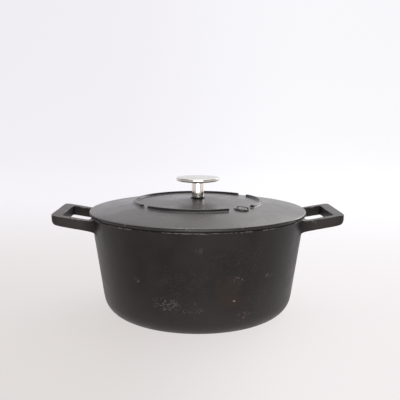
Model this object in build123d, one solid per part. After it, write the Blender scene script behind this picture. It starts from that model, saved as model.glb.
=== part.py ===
from build123d import *
import math
import os

# Cast iron dutch oven, 24 cm class.
# Frame: +Z up, origin at the centre of the base on the surface it stands on,
# +X along the line through the two loop handles. All sizes in millimetres.

# ---- the pot ------------------------------------------------------------------------
RIM_Z = 115.4              # height of the flat rim that the lid rests on
POT_RIM_RADIUS = 123.5     # outside radius at the rim
POT_BASE_RADIUS = 107.0    # radius where the tapered wall's line meets the surface
POT_WALL = 4.0             # thickness of the cast wall
POT_FLOOR = 4.8            # thickness of the cast base
BASE_CORNER = 23.0         # outside radius between wall and base
INNER_CORNER = 18.0        # inside radius between wall and base
RIM_ROUND = 1.3            # rounding on both edges of the rim
FOOT_RECESS_RADIUS = 72.0  # shallow recess inside the ground foot
FOOT_RECESS_DEPTH = 0.7

# ---- the loop handles, cast in one piece with the pot -------------------------------
HANDLE_REACH = 162.6       # outermost X of each loop
HANDLE_TOP_Z = 118.9       # height of the loop's outer top edge
HANDLE_WIDTH = 87.0        # along Y, over both side bars
HANDLE_HEIGHT = 11.7       # section height of the bars
SIDE_BAR = 8.6             # section width of the two bars that meet the pot
END_BAR = 11.0             # section width of the bar that the hand holds
HANDLE_RISE = 9.2          # degrees that the loop rises away from the pot
HANDLE_LOW_ROUND = 7.5     # rounding of the end bar's lower outer edge
HANDLE_CORNER = 6.0        # outer corners of the loop seen from above
WINDOW_CORNER = 3.0        # corners of the finger gap
HANDLE_EDGE = 1.1          # small rounding along the bars' edges
HANDLE_ROOT_ROUND = 4.4    # blend between the underside of each bar and the wall
HANDLE_ROOT_X = 100.0      # where each loop starts, buried in the wall
HANDLE_ROOT_BAND = 2.5     # the root edges' heights lie within this of their mean

# ---- the lid ------------------------------------------------------------------------
LID_RADIUS = 125.0
LID_EDGE = 3.9             # thickness of the lid's outer edge
LID_EDGE_ROUND = 1.4
DOME_MID_RADIUS = 75.0     # the dome passes through this radius and height
DOME_MID_Z = 127.0
BOSS_RADIUS = 9.0          # flat spots above and below the dome for the knob
BOSS_Z = 131.6
LID_WALL = 4.0             # thickness of the dome
LID_PAD_RADIUS = 10.0      # flat pad under the dome, for the washers
LID_PAD_DROP = 1.2         # how far the pad stands below the dome's underside
LOCATING_INNER = 113.0     # inner radius of the ring that centres the lid
LOCATING_OUTER = 118.0     # its outer radius
LOCATING_DEPTH = 4.4       # how far it reaches into the pot
SCREW_HOLE_RADIUS = 3.3

# raised broken ring on top of the lid, with the arcs' ends in degrees
RING_RADIUS = 72.9
RING_WIDTH = 3.8
RING_HEIGHT = 3.0
RING_ROUND = 1.0
RING_ARCS = ((44.0, 214.0), (221.0, 296.0), (323.0, 395.0))
BADGE_ANGLE = 308.5        # plain raised button in one gap of the ring
BADGE_RADIUS = 8.6
BADGE_HEIGHT = 1.6
BADGE_GROOVE_OUTER = 7.0   # one turned groove in the button's face
BADGE_GROOVE_INNER = 5.8
BADGE_GROOVE_DEPTH = 0.7

# basting bumps under the lid: radius of each circle and how many bumps it carries
BASTING_ROWS = ((30.0, 6), (56.0, 12), (84.0, 24))
BUMP_RADIUS = 3.4
BUMP_DROP = 2.0

# ---- the knob and its fixings -------------------------------------------------------
SEAT_WASHER_RADIUS = 8.1
SEAT_WASHER_HEIGHT = 0.8
STEM_RADIUS = 7.2
STEM_HEIGHT = 18.0
STEM_ROUND = 0.4
STEM_FLARE = 1.0           # concave flare at the stem's top, under the cap
CAP_RADIUS = 25.0
CAP_RIM = 3.5              # thickness of the cap at its rim
CAP_DISH = 1.9             # how far the underside swells below the rim
CAP_SEAT_RADIUS = 9.0      # flat of the underside that sits on the stem
CAP_CROWN = 0.5            # rise of the top face at its centre
CAP_CROWN_MID = 0.375      # rise of the top face half way out
CAP_SWELL_MID = 18.0       # the underside passes through this radius and rise
CAP_SWELL_MID_RISE = 0.57
CAP_ROUND = 1.0
SCREW_RADIUS = 2.95
THREAD_RADIUS = 3.0
SCREW_ENGAGEMENT = 4.6     # how far the screw enters the cap
THREAD_DEPTH = 5.2
SCREW_HEAD_RADIUS = 6.2
SCREW_HEAD_HEIGHT = 3.4
SCREW_HEAD_ROUND = 1.6
SLOT_WIDTH = 1.6
SLOT_DEPTH = 1.5
SPRING_WASHER_RADIUS = 5.9
SPRING_WASHER_HEIGHT = 1.5
SPRING_WASHER_GAP = 1.2
FLAT_WASHER_RADIUS = 8.5
FLAT_WASHER_HEIGHT = 1.6
WASHER_BORE = 3.2

# ---- sizes that follow --------------------------------------------------------------
TAPER = math.atan2(POT_RIM_RADIUS - POT_BASE_RADIUS, RIM_Z)
RISE = math.radians(HANDLE_RISE)
LID_EDGE_Z = RIM_Z + LID_EDGE
LID_PAD_Z = BOSS_Z - LID_WALL - LID_PAD_DROP
FLAT_WASHER_Z = LID_PAD_Z - FLAT_WASHER_HEIGHT
SPRING_WASHER_Z = FLAT_WASHER_Z - SPRING_WASHER_HEIGHT
STEM_Z = BOSS_Z + SEAT_WASHER_HEIGHT
CAP_Z = STEM_Z + STEM_HEIGHT
CAP_RIM_Z = CAP_Z + CAP_DISH
CAP_TOP_Z = CAP_RIM_Z + CAP_RIM
PAST = 5.0                                   # how far a cutting tool passes a face
BURIED = 1.0                                 # overlap that joins two solids
NEAR = 0.3                                   # faces and edges this close belong together
DOME_CENTRE_Z = (
    (LID_RADIUS**2 + LID_EDGE_Z**2 - DOME_MID_RADIUS**2 - DOME_MID_Z**2)
    / (2 * (LID_EDGE_Z - DOME_MID_Z))
)
DOME_RADIUS = math.hypot(LID_RADIUS, LID_EDGE_Z - DOME_CENTRE_Z)


def turned(*outline):
    """Solid turned about Z from straight lines through (radius, height) points."""
    face = make_face(Plane.XZ * Polyline(*outline, close=True))
    return revolve(face, Axis.Z, 360)


def wall_radius(z):
    """Outside radius of the pot's tapered wall at height z."""
    return POT_BASE_RADIUS + z * math.tan(TAPER)


def tube(outer, inner, low, height):
    """Upright ring with a bore."""
    ring = Cylinder(outer, height) - Cylinder(inner, height + PAST)
    return Pos(0, 0, low + height / 2) * ring


def dome_z(radius, offset=0.0):
    """Height of the lid's spherical top, or of a surface offset from it."""
    return DOME_CENTRE_Z + math.sqrt((DOME_RADIUS + offset) ** 2 - radius**2)


def hoops(solid, radius):
    """Level circular edges of one radius."""
    circles = solid.edges().filter_by(GeomType.CIRCLE)
    return [edge for edge in circles if abs(edge.radius - radius) < NEAR]


# ---- pot ----------------------------------------------------------------------------
def pot_outside():
    """Tapered outer shape with its rounded base corner."""
    shape = turned(
        (0, 0),
        (POT_BASE_RADIUS, 0),
        (POT_RIM_RADIUS, RIM_Z),
        (0, RIM_Z),
    )
    return fillet(shape.edges().sort_by(Axis.Z)[0], BASE_CORNER)


def pot_inside():
    """Cavity, run past the rim so that it cuts the top open."""
    slant = POT_WALL / math.cos(TAPER)
    floor_radius = POT_BASE_RADIUS + POT_FLOOR * math.tan(TAPER) - slant
    mouth_radius = POT_RIM_RADIUS + PAST * math.tan(TAPER) - slant
    shape = turned(
        (0, POT_FLOOR),
        (floor_radius, POT_FLOOR),
        (mouth_radius, RIM_Z + PAST),
        (0, RIM_Z + PAST),
    )
    return fillet(shape.edges().sort_by(Axis.Z)[0], INNER_CORNER)


def handle_block():
    """Solid wedge of one loop on the +X side, before the finger gap is cut."""
    drop = (HANDLE_REACH - HANDLE_ROOT_X) * math.tan(RISE)
    side = Plane.XZ * Polyline(
        (HANDLE_ROOT_X, HANDLE_TOP_Z - drop),
        (HANDLE_REACH, HANDLE_TOP_Z),
        (HANDLE_REACH, HANDLE_TOP_Z - HANDLE_HEIGHT),
        (HANDLE_ROOT_X, HANDLE_TOP_Z - HANDLE_HEIGHT - drop),
        close=True,
    )
    block = extrude(make_face(side), HANDLE_WIDTH / 2, both=True)
    low_edge = block.edges().filter_by(Axis.Y).group_by(Axis.X)[-1].sort_by(Axis.Z)[0]
    block = fillet(low_edge, HANDLE_LOW_ROUND)
    return block & upright_prism(HANDLE_REACH, HANDLE_WIDTH, HANDLE_CORNER)


def upright_prism(reach, width, corner):
    """Upright block from the loop's root to a reach, its far corners rounded."""
    length = reach - HANDLE_ROOT_X
    prism = Box(length, width, 4 * HANDLE_HEIGHT)
    corners = prism.edges().filter_by(Axis.Z).group_by(Axis.X)[-1]
    prism = fillet(corners, corner)
    return Pos(HANDLE_ROOT_X + length / 2, 0, HANDLE_TOP_Z - HANDLE_HEIGHT) * prism


def handle_loop():
    """One loop with its finger gap cut and its long edges rounded."""
    gap = upright_prism(HANDLE_REACH - END_BAR, HANDLE_WIDTH - 2 * SIDE_BAR, WINDOW_CORNER)
    loop = handle_block() - gap
    long_edges = []
    for edge in loop.edges():
        centre = edge.center()
        top_z = HANDLE_TOP_Z - (HANDLE_REACH - centre.X) * math.tan(RISE)
        from_face = min(abs(centre.Z - top_z), abs(centre.Z - top_z + HANDLE_HEIGHT))
        if from_face < NEAR and centre.X > HANDLE_ROOT_X + NEAR:
            long_edges.append(edge)
    return fillet(long_edges, HANDLE_EDGE)


def low_roots(body):
    """Edges where the undersides of the bars meet the pot's wall."""
    under_z = HANDLE_TOP_Z - HANDLE_HEIGHT - (HANDLE_REACH - wall_radius(RIM_Z)) * math.tan(RISE)
    return [
        edge for edge in body.edges()
        if HANDLE_ROOT_X < abs(edge.center().X) < LID_RADIUS
        and abs(edge.center().Y) < HANDLE_WIDTH / 2 + NEAR
        and abs(edge.center().Z - under_z) < HANDLE_ROOT_BAND
        and edge.geom_type != GeomType.LINE
    ]


def make_pot():
    """Pot, rim and both loop handles as one casting."""
    cavity = pot_inside()
    shell = pot_outside() - cavity
    rim_face = shell.faces().filter_by(GeomType.PLANE).sort_by(Axis.Z)[-1]
    shell = fillet(rim_face.edges(), RIM_ROUND)
    loop = handle_loop() - cavity
    body = shell + loop + mirror(loop, Plane.YZ)
    body = fillet(low_roots(body), HANDLE_ROOT_ROUND)
    return body - Cylinder(FOOT_RECESS_RADIUS, 2 * FOOT_RECESS_DEPTH)


# ---- lid ----------------------------------------------------------------------------
def domed(radius, low, offset=0.0):
    """Round plate from a flat underside up to the dome, or a surface offset from it."""
    top = dome_z(0, offset)
    edge_top = dome_z(radius, offset)
    outline = Curve() + [
        Line((0, low), (radius, low)),
        Line((radius, low), (radius, edge_top)),
        ThreePointArc((radius, edge_top), (radius / 2, dome_z(radius / 2, offset)), (0, top)),
        Line((0, top), (0, low)),
    ]
    return revolve(make_face(Plane.XZ * outline), Axis.Z, 360)


def dome_shell():
    """Domed plate with its edge, the ring that centres it and the two flat pads."""
    plate = domed(LID_RADIUS, RIM_Z)
    plate = fillet(hoops(plate, LID_RADIUS), LID_EDGE_ROUND)
    ring = Pos(0, 0, RIM_Z) * Cylinder(LOCATING_OUTER, 2 * LOCATING_DEPTH)
    ring = fillet(ring.edges().group_by(Axis.Z)[0], LID_EDGE_ROUND)
    plate = plate + ring - domed(LOCATING_INNER, RIM_Z - 2 * LOCATING_DEPTH, -LID_WALL)
    pad = Pos(0, 0, LID_PAD_Z + LID_WALL / 2) * Cylinder(LID_PAD_RADIUS, LID_WALL)
    boss = Pos(0, 0, BOSS_Z - LID_WALL / 2) * Cylinder(BOSS_RADIUS, LID_WALL)
    return plate + pad + boss


def ring_arc(start, end):
    """One arc of the raised ring, with rounded ends and a rounded top."""
    centre_line = CenterArc((0, 0), RING_RADIUS, start, end - start)
    top_z = dome_z(RING_RADIUS) + RING_HEIGHT
    foot_z = dome_z(RING_RADIUS) - RING_HEIGHT / 2
    arc = extrude(SlotArc(centre_line, RING_WIDTH), top_z - foot_z)
    arc = fillet(arc.edges().group_by(Axis.Z)[-1], RING_ROUND)
    return Pos(0, 0, foot_z) * arc


def badge():
    """Plain raised button with one turned groove, square to the dome."""
    lean = math.degrees(math.asin(RING_RADIUS / DOME_RADIUS))
    button = Cylinder(BADGE_RADIUS, 2 * BADGE_HEIGHT)
    button = fillet(button.edges().group_by(Axis.Z)[-1], RING_ROUND / 2)
    groove_z = BADGE_HEIGHT - BADGE_GROOVE_DEPTH
    button -= tube(BADGE_GROOVE_OUTER, BADGE_GROOVE_INNER, groove_z, BADGE_HEIGHT)
    seat = Rot(0, 0, BADGE_ANGLE) * Pos(RING_RADIUS, 0, dome_z(RING_RADIUS)) * Rot(0, lean, 0)
    return seat * button


def basting_bump():
    """Low round bump that hangs below the origin and is buried above it."""
    ball_radius = (BUMP_RADIUS**2 + BUMP_DROP**2) / (2 * BUMP_DROP)
    ball = Pos(0, 0, ball_radius - BUMP_DROP) * Sphere(ball_radius)
    keep_height = BUMP_DROP + 2 * BURIED
    keep = Box(2 * ball_radius, 2 * ball_radius, keep_height)
    return ball & Pos(0, 0, 2 * BURIED - keep_height / 2) * keep


def make_lid():
    """Lid with its raised broken ring, button, basting bumps and screw hole."""
    lid = dome_shell()
    for start, end in RING_ARCS:
        lid += ring_arc(start, end)
    lid += badge()
    bump = basting_bump()
    for radius, count in BASTING_ROWS:
        under_z = dome_z(radius, -LID_WALL)
        for index in range(count):
            lid += Rot(0, 0, 360 / count * index) * Pos(radius, 0, under_z) * bump
    return lid - Pos(0, 0, BOSS_Z) * Cylinder(SCREW_HOLE_RADIUS, 4 * LID_WALL)


# ---- knob and fixings ---------------------------------------------------------------
def make_knob_seat_washer():
    """Thin washer between the stem and the lid."""
    return tube(SEAT_WASHER_RADIUS, SCREW_HOLE_RADIUS, BOSS_Z, SEAT_WASHER_HEIGHT)


def make_knob_stem():
    """Tubular stem with a small concave flare under the cap."""
    stem = tube(STEM_RADIUS, SCREW_HOLE_RADIUS, STEM_Z, STEM_HEIGHT)
    foot = stem.edges().group_by(Axis.Z)[0].sort_by(SortBy.RADIUS)[-1]
    stem = fillet(foot, STEM_ROUND)
    wide = STEM_RADIUS + STEM_FLARE
    collar = tube(wide, STEM_RADIUS - BURIED, CAP_Z - STEM_FLARE, STEM_FLARE)
    cove = Pos(0, 0, CAP_Z - STEM_FLARE) * Torus(wide, STEM_FLARE)
    return stem + (collar - cove)


def make_knob_cap():
    """Solid turned cap: crowned top, rounded rim, swelling underside, blind thread."""
    crown_z = CAP_TOP_Z + CAP_CROWN
    crown_mid = (CAP_RADIUS / 2, CAP_TOP_Z + CAP_CROWN_MID)
    swell_mid = (CAP_SWELL_MID, CAP_Z + CAP_SWELL_MID_RISE)
    outline = Curve() + [
        Line((0, CAP_Z), (CAP_SEAT_RADIUS, CAP_Z)),
        ThreePointArc((CAP_SEAT_RADIUS, CAP_Z), swell_mid, (CAP_RADIUS, CAP_RIM_Z)),
        Line((CAP_RADIUS, CAP_RIM_Z), (CAP_RADIUS, CAP_TOP_Z)),
        ThreePointArc((CAP_RADIUS, CAP_TOP_Z), crown_mid, (0, crown_z)),
        Line((0, crown_z), (0, CAP_Z)),
    ]
    cap = revolve(make_face(Plane.XZ * outline), Axis.Z, 360)
    cap = fillet(hoops(cap, CAP_RADIUS), CAP_ROUND)
    return cap - Pos(0, 0, CAP_Z) * Cylinder(THREAD_RADIUS, 2 * THREAD_DEPTH)


def make_knob_screw():
    """Slotted pan-head screw from inside the lid up into the cap."""
    length = CAP_Z + SCREW_ENGAGEMENT - SPRING_WASHER_Z
    shank = Pos(0, 0, SPRING_WASHER_Z + length / 2) * Cylinder(SCREW_RADIUS, length)
    head_z = SPRING_WASHER_Z - SCREW_HEAD_HEIGHT
    head = Pos(0, 0, head_z + SCREW_HEAD_HEIGHT / 2) * Cylinder(SCREW_HEAD_RADIUS, SCREW_HEAD_HEIGHT)
    head = fillet(head.edges().group_by(Axis.Z)[0], SCREW_HEAD_ROUND)
    slot = Pos(0, 0, head_z) * Box(3 * SCREW_HEAD_RADIUS, SLOT_WIDTH, 2 * SLOT_DEPTH)
    return shank + (head - slot)


def make_spring_washer():
    """Split ring under the screw head."""
    ring = tube(SPRING_WASHER_RADIUS, WASHER_BORE, SPRING_WASHER_Z, SPRING_WASHER_HEIGHT)
    split = Box(2 * SPRING_WASHER_RADIUS, SPRING_WASHER_GAP, 4 * SPRING_WASHER_HEIGHT)
    return ring - Pos(SPRING_WASHER_RADIUS, 0, SPRING_WASHER_Z) * split


def make_flat_washer():
    """Wide washer against the pad under the dome."""
    return tube(FLAT_WASHER_RADIUS, WASHER_BORE, FLAT_WASHER_Z, FLAT_WASHER_HEIGHT)


PARTS = {
    "pot": make_pot,
    "lid": make_lid,
    "knob_seat_washer": make_knob_seat_washer,
    "knob_stem": make_knob_stem,
    "knob_cap": make_knob_cap,
    "knob_screw": make_knob_screw,
    "screw_spring_washer": make_spring_washer,
    "screw_flat_washer": make_flat_washer,
}

os.makedirs("parts", exist_ok=True)
for name, make in PARTS.items():
    export_step(make(), f"parts/{name}.step")
    print("wrote", name)
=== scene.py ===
"""Looks of a round cast iron dutch oven: pot with loop handles, domed lid, steel knob."""
import logging
import math
from dataclasses import dataclass
from enum import Enum
from typing import Any, Callable, Sequence

import bmesh
import bpy
from bmesh.types import BMesh, BMFace, BMVert
from mathutils import Matrix, Vector


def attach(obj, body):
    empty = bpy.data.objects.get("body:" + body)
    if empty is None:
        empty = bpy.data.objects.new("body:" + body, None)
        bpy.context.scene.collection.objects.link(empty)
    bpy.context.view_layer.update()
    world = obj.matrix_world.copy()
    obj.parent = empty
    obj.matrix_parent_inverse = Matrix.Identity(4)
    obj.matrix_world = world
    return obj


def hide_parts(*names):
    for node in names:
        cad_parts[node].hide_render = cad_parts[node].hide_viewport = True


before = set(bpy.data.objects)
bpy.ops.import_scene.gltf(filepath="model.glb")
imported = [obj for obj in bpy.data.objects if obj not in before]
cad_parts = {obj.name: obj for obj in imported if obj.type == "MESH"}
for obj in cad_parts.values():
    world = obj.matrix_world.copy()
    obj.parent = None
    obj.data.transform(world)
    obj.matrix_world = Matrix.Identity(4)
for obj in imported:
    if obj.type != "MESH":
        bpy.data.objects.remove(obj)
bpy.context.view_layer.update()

log = logging.getLogger("dutch_oven")

Point = tuple[float, float]
Colour = tuple[float, float, float]

SEGMENTS = 96              # faces round the pot and the lid before they are smoothed
SEGMENT = 2 * math.pi / SEGMENTS
SMOOTHING = 2              # levels of subdivision on every piece
WELD = 1e-6                # verts closer than this are one
WEAR = "wear"              # attribute that is 1 on exposed edges


class Body(Enum):
    """Bodies that pieces ride on."""

    POT = "pot"
    LID = "lid"


class Slot(Enum):
    """Material slots of the record; no piece takes them."""

    IRON = "iron"
    STEEL = "steel"
    WASHER = "dark_washer"


# ---- shaping helpers ----------------------------------------------------------------
def arc(centre: Point, radius: float, start: float, end: float, steps: int) -> list[Point]:
    """Points along a round stretch of an outline.

    Args:
        centre: centre of the arc, as radius and height.
        radius: radius of the arc.
        start: first angle in degrees, 0 pointing outwards.
        end: last angle in degrees.
        steps: number of spans between the points.

    Returns:
        The points, both ends included.
    """
    angles = [math.radians(start + (end - start) * i / steps) for i in range(steps + 1)]
    return [(centre[0] + radius * math.cos(a), centre[1] + radius * math.sin(a)) for a in angles]


def lathe(outline: Sequence[Point], segments: int, closed: bool = False) -> BMesh:
    """Spin an outline about the upright axis.

    Args:
        outline: points as radius and height.
        segments: faces round the axis.
        closed: whether the outline's last point joins its first.

    Returns:
        The turned mesh, welded at its seam and poles.
    """
    bm = bmesh.new()
    bm.verts.layers.float.new(WEAR)
    verts = [bm.verts.new((r, 0.0, z)) for r, z in outline]
    pairs = list(zip(verts, verts[1:]))
    if closed:
        pairs.append((verts[-1], verts[0]))
    edges = [bm.edges.new(pair) for pair in pairs]
    bmesh.ops.spin(
        bm, geom=verts + edges, cent=(0, 0, 0), axis=(0, 0, 1), angle=2 * math.pi,
        steps=segments, use_merge=True,
    )
    bmesh.ops.remove_doubles(bm, verts=bm.verts, dist=WELD)
    bmesh.ops.recalc_face_normals(bm, faces=bm.faces)
    return bm


def hold_size(outline: Sequence[Point], segments: int) -> list[Point]:
    """Widen an outline so that smoothing brings it back to its radii."""
    shrink = (2 + math.cos(2 * math.pi / segments)) / 3
    return [(r / shrink, z) for r, z in outline]


def azimuth(face: BMFace) -> float:
    """Angle of a face's middle about the upright axis, from 0 to a full turn."""
    centre = face.calc_center_median()
    return math.atan2(centre.y, centre.x) % (2 * math.pi)


def open_patch(bm: BMesh, faces: list[BMFace]) -> list[BMVert]:
    """Cut a patch out of a surface.

    Args:
        bm: mesh to cut.
        faces: faces of the patch.

    Returns:
        The verts round the hole, in order.
    """
    inside = set(faces)
    border = [e for f in faces for e in f.edges if any(g not in inside for g in e.link_faces)]
    bmesh.ops.delete(bm, geom=faces, context="FACES")
    chain = [border[0].verts[0], border[0].verts[1]]
    left = set(border) - {border[0]}
    while len(chain) < len(border):
        step = next(e for e in left if chain[-1] in e.verts)
        left.discard(step)
        chain.append(step.other_vert(chain[-1]))
    return chain


def grow_ring(bm: BMesh, ring: list[BMVert], places: Sequence[Vector]) -> list[BMVert]:
    """Extrude an open ring of verts and move the new one into place.

    Args:
        bm: mesh that the ring belongs to.
        ring: verts in order.
        places: where each new vert goes.

    Returns:
        The new ring, in the same order.
    """
    edges = [bm.edges.get((a, b)) for a, b in zip(ring, ring[1:] + ring[:1])]
    made = bmesh.ops.extrude_edge_only(bm, edges=edges)["geom"]
    fresh = {v for v in made if isinstance(v, BMVert)}
    grown = []
    for vert, place in zip(ring, places):
        twin = next(e.other_vert(vert) for e in vert.link_edges if e.other_vert(vert) in fresh)
        twin.co = place
        grown.append(twin)
    return grown


def stamp(
    bm: BMesh, faces: list[BMFace], seat: Matrix, rings: Sequence[Point], wear: float = 0.0,
) -> None:
    """Replace a patch with a round raised or sunk form.

    Args:
        bm: mesh to work on.
        faces: patch to replace.
        seat: place and lean of the form, its Z pointing out of the surface.
        rings: radius and height of each ring, from the foot to the crown.
        wear: wear on the form's crown.
    """
    ring = open_patch(bm, faces)
    back = seat.inverted()
    local = [back @ v.co for v in ring]
    turn = math.atan2(local[0].y, local[0].x)
    ahead = math.atan2(local[1].y, local[1].x)
    way = 1 if math.remainder(ahead - turn, 2 * math.pi) > 0 else -1
    angles = [turn + way * 2 * math.pi * i / len(ring) for i in range(len(ring))]
    layer = bm.verts.layers.float[WEAR]
    for radius, height in rings:
        places = [
            seat @ Vector((radius * math.cos(a), radius * math.sin(a), height)) for a in angles
        ]
        ring = grow_ring(bm, ring, places)
        for vert in ring:
            vert[layer] = wear if height > 0 else 0.0
    bmesh.ops.contextual_create(bm, geom=ring)
    cap = next(f for f in ring[0].link_faces if set(f.verts) == set(ring))
    bmesh.ops.poke(bm, faces=[cap])


def rounded(u: float, v: float, width: float, height: float, radii: Sequence[float]) -> Point:
    """Place a point of a square's edge on a rectangle with rounded corners.

    Args:
        u: place across the width, from 0 to 1.
        v: place up the height, from 0 to 1.
        width: width of the rectangle.
        height: height of the rectangle.
        radii: corner radii: low inner, low outer, top outer, top inner.

    Returns:
        The point, from the low inner corner.
    """
    x, y = u * width, v * height
    corners = ((0, 0), (1, 0), (1, 1), (0, 1))
    for (cu, cv), radius in zip(corners, radii):
        cx = radius if cu == 0 else width - radius
        cy = radius if cv == 0 else height - radius
        dx, dy = x - cx, y - cy
        if dx * (2 * cu - 1) > 0 and dy * (2 * cv - 1) > 0:
            reach = math.hypot(dx, dy)
            return cx + radius * dx / reach, cy + radius * dy / reach
    return x, y


def mark_wear(bm: BMesh, exposed: Callable[[Vector], bool], amount: float) -> None:
    """Set the wear of the verts at exposed places.

    Args:
        bm: mesh to mark.
        exposed: whether a place is worn.
        amount: wear from 0 to 1.
    """
    layer = bm.verts.layers.float[WEAR]
    for vert in bm.verts:
        if exposed(vert.co):
            vert[layer] = amount


def as_piece(
    name: str, bm: BMesh, material: bpy.types.Material, body: Body,
    stands_for: Sequence[str],
) -> bpy.types.Object:
    """Turn a mesh into a finished piece on its body.

    Args:
        name: name of the piece.
        bm: its mesh, which is freed.
        material: its finish.
        body: body that it rides on.
        stands_for: CAD nodes that it replaces.

    Returns:
        The piece.
    """
    bmesh.ops.recalc_face_normals(bm, faces=bm.faces)
    mesh = bpy.data.meshes.new(name)
    bm.to_mesh(mesh)
    bm.free()
    mesh.polygons.foreach_set("use_smooth", [True] * len(mesh.polygons))
    mesh.materials.append(material)
    piece = bpy.data.objects.new(name, mesh)
    bpy.context.scene.collection.objects.link(piece)
    subsurf = piece.modifiers.new("Subdivision", "SUBSURF")
    subsurf.levels = subsurf.render_levels = SMOOTHING
    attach(piece, body.value)
    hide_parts(*stands_for)
    log.info("%s: %d faces before smoothing", name, len(mesh.polygons))
    return piece


# ---- shader helpers -----------------------------------------------------------------
class Graph:
    """Builder for the nodes of one shader tree."""

    def __init__(self, tree: bpy.types.NodeTree) -> None:
        """Start on an empty tree."""
        self.tree = tree

    def node(self, kind: str, inputs: dict[Any, Any] | None = None, **settings: Any) -> Any:
        """Add a node.

        Args:
            kind: Blender's name of the node type.
            inputs: socket name or number to a value or another node's output.
            settings: properties of the node.

        Returns:
            The node.
        """
        node = self.tree.nodes.new(kind)
        for key, value in settings.items():
            setattr(node, key, value)
        for key, value in (inputs or {}).items():
            if isinstance(value, bpy.types.NodeSocket):
                self.tree.links.new(value, node.inputs[key])
            else:
                node.inputs[key].default_value = value
        return node

    def math(self, operation: str, a: Any, b: Any = 0.0, clamp: bool = False) -> Any:
        """Arithmetic on two numbers, giving the result's socket."""
        node = self.node("ShaderNodeMath", {0: a, 1: b}, operation=operation, use_clamp=clamp)
        return node.outputs[0]

    def axis(self, place: Any, name: str) -> Any:
        """One coordinate of a place, giving its socket."""
        return self.node("ShaderNodeSeparateXYZ", {0: place}).outputs[name]

    def distance(self, value: Any, other: float) -> Any:
        """How far a number is from another, giving the result's socket."""
        return self.math("ABSOLUTE", self.math("SUBTRACT", value, other))

    def bump(self, height: Any, depth: float, strength: float = 1.0) -> Any:
        """Relief from a height, giving the normal's socket."""
        inputs = {"Height": height, "Distance": depth, "Strength": strength}
        return self.node("ShaderNodeBump", inputs).outputs["Normal"]

    def fade(
        self, value: Any, low: float, high: float, first: float = 0.0, last: float = 1.0,
    ) -> Any:
        """Smooth step of a number, from first at low to last at high."""
        node = self.node(
            "ShaderNodeMapRange",
            {"Value": value, "From Min": low, "From Max": high, "To Min": first, "To Max": last},
            interpolation_type="SMOOTHSTEP",
        )
        return node.outputs["Result"]

    def noise(self, vector: Any, scale: Any, detail: float = 4.0, distortion: float = 0.0) -> Any:
        """Fractal noise of a vector, mostly between 0.3 and 0.7."""
        node = self.node(
            "ShaderNodeTexNoise",
            {"Vector": vector, "Scale": scale, "Detail": detail, "Distortion": distortion},
        )
        return node.outputs[0]

    def mix(self, factor: Any, a: Any, b: Any) -> Any:
        """Blend of two colours, giving the result's socket."""
        return self.node("ShaderNodeMix", {0: factor, 6: a, 7: b}, data_type="RGBA").outputs[2]

    def group(self, tree: bpy.types.NodeTree, inputs: dict[str, Any]) -> Any:
        """Place a node group with its own values."""
        return self.node("ShaderNodeGroup", inputs, node_tree=tree)


def new_group(name: str, takes: dict[str, tuple[str, Any]], gives: Sequence[str]) -> Any:
    """Make an empty shader node group.

    Args:
        name: name of the group.
        takes: input name to its kind, Float or Vector, and its default.
        gives: names of the number outputs.

    Returns:
        The graph of the group, its input node and its output node.
    """
    tree = bpy.data.node_groups.new(name, "ShaderNodeTree")
    for label, (kind, default) in takes.items():
        socket = tree.interface.new_socket(label, in_out="INPUT", socket_type=f"NodeSocket{kind}")
        if default is not None:
            socket.default_value = default
    for label in gives:
        tree.interface.new_socket(label, in_out="OUTPUT", socket_type="NodeSocketFloat")
    graph = Graph(tree)
    return graph, graph.node("NodeGroupInput"), graph.node("NodeGroupOutput")


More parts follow.
